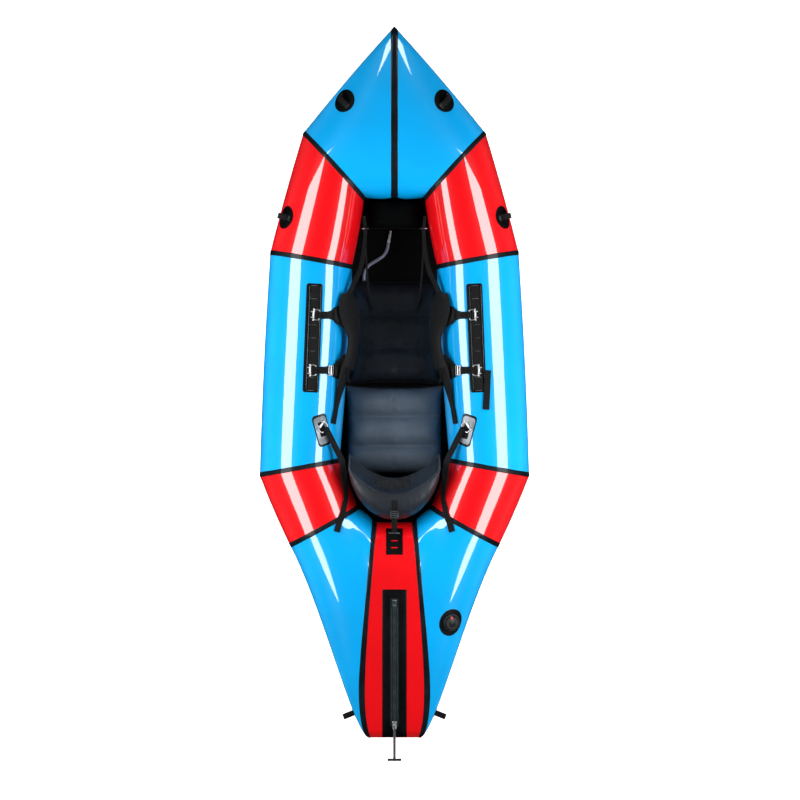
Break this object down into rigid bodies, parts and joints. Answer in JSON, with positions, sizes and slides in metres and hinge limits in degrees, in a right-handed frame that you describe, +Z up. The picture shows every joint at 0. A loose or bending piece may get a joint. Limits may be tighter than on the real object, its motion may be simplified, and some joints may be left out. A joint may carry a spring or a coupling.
{
  "type": "packraft",
  "caption": "One-person inflatable packraft with tapered bow and stern, padded seat, thigh straps, backrest, valve and a zip along the stern deck.",
  "frame": {"origin": "centre of the whole part's footprint, on the underside of the floor sheet", "axes": "+Y towards the bow, +X to the paddler's right, +Z up"},
  "size_m": [0.9456, 2.5518, 0.3638],
  "materials": {
    "coated_nylon_blue": "glossy film-coated fabric",
    "coated_nylon_red": "glossy film-coated fabric",
    "coated_nylon_black": "glossy film-coated fabric",
    "coated_nylon_charcoal": "satin film-coated fabric",
    "webbing_black": "matt woven webbing",
    "stainless_steel": "polished",
    "moulded_rubber_black": "satin",
    "clear_tube": "translucent"
  },
  "bodies": {
    "hull": {"back_strap_left": "webbing_black", "back_strap_right": "webbing_black", "bow_centre_tape": "coated_nylon_black", "bow_loop_left": "webbing_black", "bow_loop_right": "webbing_black", "bow_panel_left": "coated_nylon_blue", "bow_panel_right": "coated_nylon_blue", "deck_tape_left": "coated_nylon_black", "deck_tape_right": "coated_nylon_black", "floor_sheet": "coated_nylon_charcoal", "foot_brace": "coated_nylon_charcoal", "front_ring_left": "stainless_steel", "front_ring_right": "stainless_steel", "hose_mouthpiece": "clear_tube", "inflation_hose": "clear_tube", "ladder_patch": "webbing_black", "leg_pad": "coated_nylon_charcoal", "quarter_front_tape_left": "coated_nylon_black", "quarter_front_tape_right": "coated_nylon_black", "quarter_panel_left": "coated_nylon_red", "quarter_panel_right": "coated_nylon_red", "quarter_rear_tape_left": "coated_nylon_black", "quarter_rear_tape_right": "coated_nylon_black", "rear_buckle_left": "stainless_steel", "rear_buckle_right": "stainless_steel", "rear_patch_left": "coated_nylon_black", "rear_patch_right": "coated_nylon_black", "seat_cushion": "coated_nylon_charcoal", "shoulder_front_tape_left": "coated_nylon_black", "shoulder_front_tape_right": "coated_nylon_black", "shoulder_loop_left": "webbing_black", "shoulder_loop_right": "webbing_black", "shoulder_panel_left": "coated_nylon_red", "shoulder_panel_right": "coated_nylon_red", "shoulder_rear_tape_left": "coated_nylon_black", "shoulder_rear_tape_right": "coated_nylon_black", "side_buckle_front_left": "stainless_steel", "side_buckle_front_right": "stainless_steel", "side_buckle_rear_left": "stainless_steel", "side_buckle_rear_right": "stainless_steel", "side_panel_left": "coated_nylon_blue", "side_panel_right": "coated_nylon_blue", "stern_deck_panel": "coated_nylon_red", "stern_loop_left": "webbing_black", "stern_loop_right": "webbing_black", "stern_panel_left": "coated_nylon_blue", "stern_panel_right": "coated_nylon_blue", "strap_patch_left": "webbing_black", "strap_patch_right": "webbing_black", "thigh_strap_left": "webbing_black", "thigh_strap_right": "webbing_black", "valve_base": "moulded_rubber_black", "zip_chain": "moulded_rubber_black", "zip_patch": "coated_nylon_black"},
    "zip_slider": {"zip_slider": "stainless_steel"},
    "zip_pull": {"zip_pull": "webbing_black"},
    "valve_cap": {"valve_cap": "moulded_rubber_black"},
    "backrest": {"backrest": "coated_nylon_charcoal", "backrest_strap": "webbing_black", "strap_bar": "stainless_steel"}
  },
  "joints": [
    {"name": "zip_slide", "type": "slide", "parent": "hull", "child": "zip_slider", "axis": [0, 0.9914, 0.1307], "range_m": [0, 0.401]},
    {"name": "zip_pull_swing", "type": "hinge", "parent": "zip_slider", "child": "zip_pull", "pos_m": [0, -1.1501, 0.22225], "axis": [-1, 0, 0], "range_deg": [0, 175]},
    {"name": "valve_cap_turn", "type": "hinge", "parent": "hull", "child": "valve_cap", "pos_m": [0.19619, -0.78956, 0.2451], "axis": [0.3895, -0.1907, 0.9011], "range_deg": [0, 90]},
    {"name": "backrest_fold", "type": "hinge", "parent": "hull", "child": "backrest", "pos_m": [0, -0.2547, 0.1], "axis": [-1, 0, 0], "range_deg": [0, 45]}
  ]
}
